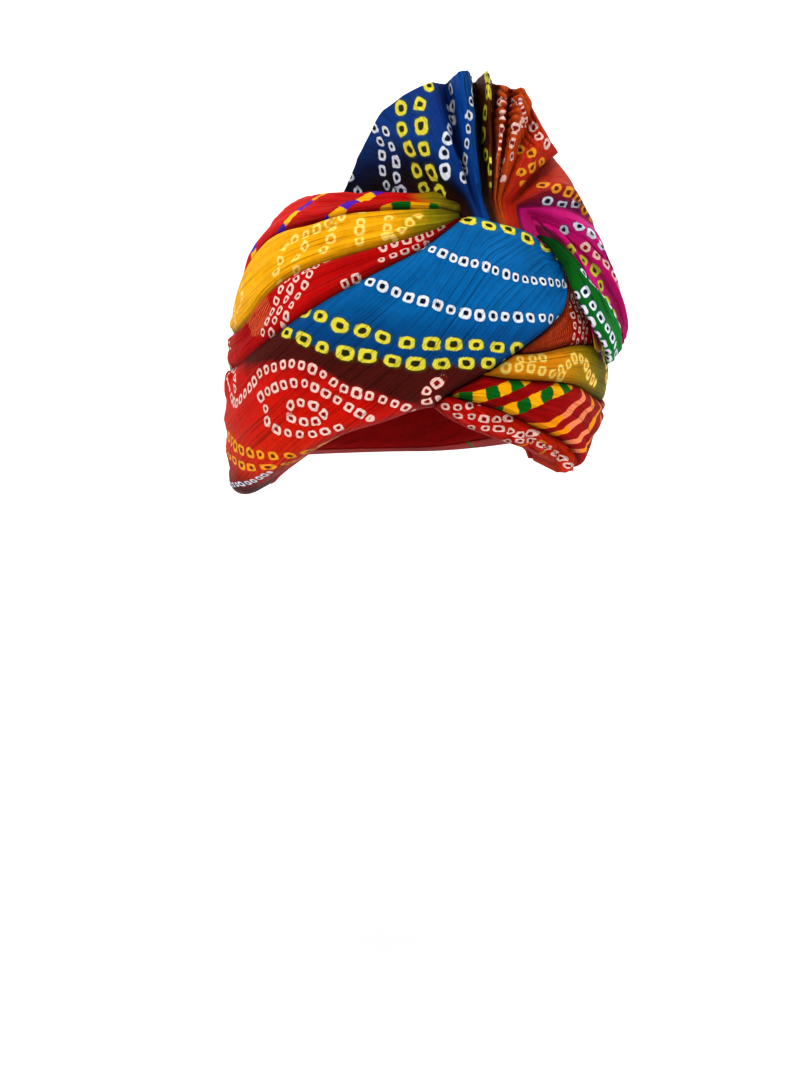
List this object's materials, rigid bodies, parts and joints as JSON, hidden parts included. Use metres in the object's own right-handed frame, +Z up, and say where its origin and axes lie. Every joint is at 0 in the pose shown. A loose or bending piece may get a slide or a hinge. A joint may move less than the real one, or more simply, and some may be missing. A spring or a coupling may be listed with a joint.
{
  "type": "tied turban",
  "caption": "Tied turban: tie-dyed cloth wound round the head in crossing turns, with a broad front turn, a pleated fan standing behind it and a green hem roll down one side.",
  "frame": {"origin": "middle of the head opening, at the height of the lowest cloth over the brow, on the head's upright centre line", "axes": "+Z up out of the crown, -Y to the front where the broad turn crosses the brow, +X to the side that the fan drapes down"},
  "size_m": [0.2272, 0.2489, 0.2331],
  "materials": {
    "red_under_cloth": "matte",
    "red_crown_cloth": "matte",
    "checked_red_cloth": "matte",
    "yellow_cloth": "matte",
    "dotted_red_cloth": "matte",
    "blue_to_red_cloth": "matte",
    "hatched_red_cloth": "matte",
    "yellow_to_olive_cloth": "matte",
    "striped_red_cloth": "matte",
    "rim_red_cloth": "matte",
    "green_cloth": "matte",
    "blue_fan_cloth": "matte",
    "orange_fan_cloth": "matte",
    "magenta_fan_cloth": "matte"
  },
  "bodies": {
    "root": {"under_wrap": "red_under_cloth", "crown_cover": "red_crown_cloth", "top_red_wrap": "checked_red_cloth", "yellow_wrap": "yellow_cloth", "dotted_red_wrap": "dotted_red_cloth", "front_panel": "blue_to_red_cloth", "side_hatch_wrap": "hatched_red_cloth", "olive_wrap": "yellow_to_olive_cloth", "striped_wrap": "striped_red_cloth", "rim_roll": "rim_red_cloth", "green_roll": "green_cloth", "fan_blue": "blue_fan_cloth", "fan_orange": "orange_fan_cloth", "fan_magenta": "magenta_fan_cloth"}
  },
  "joints": []
}
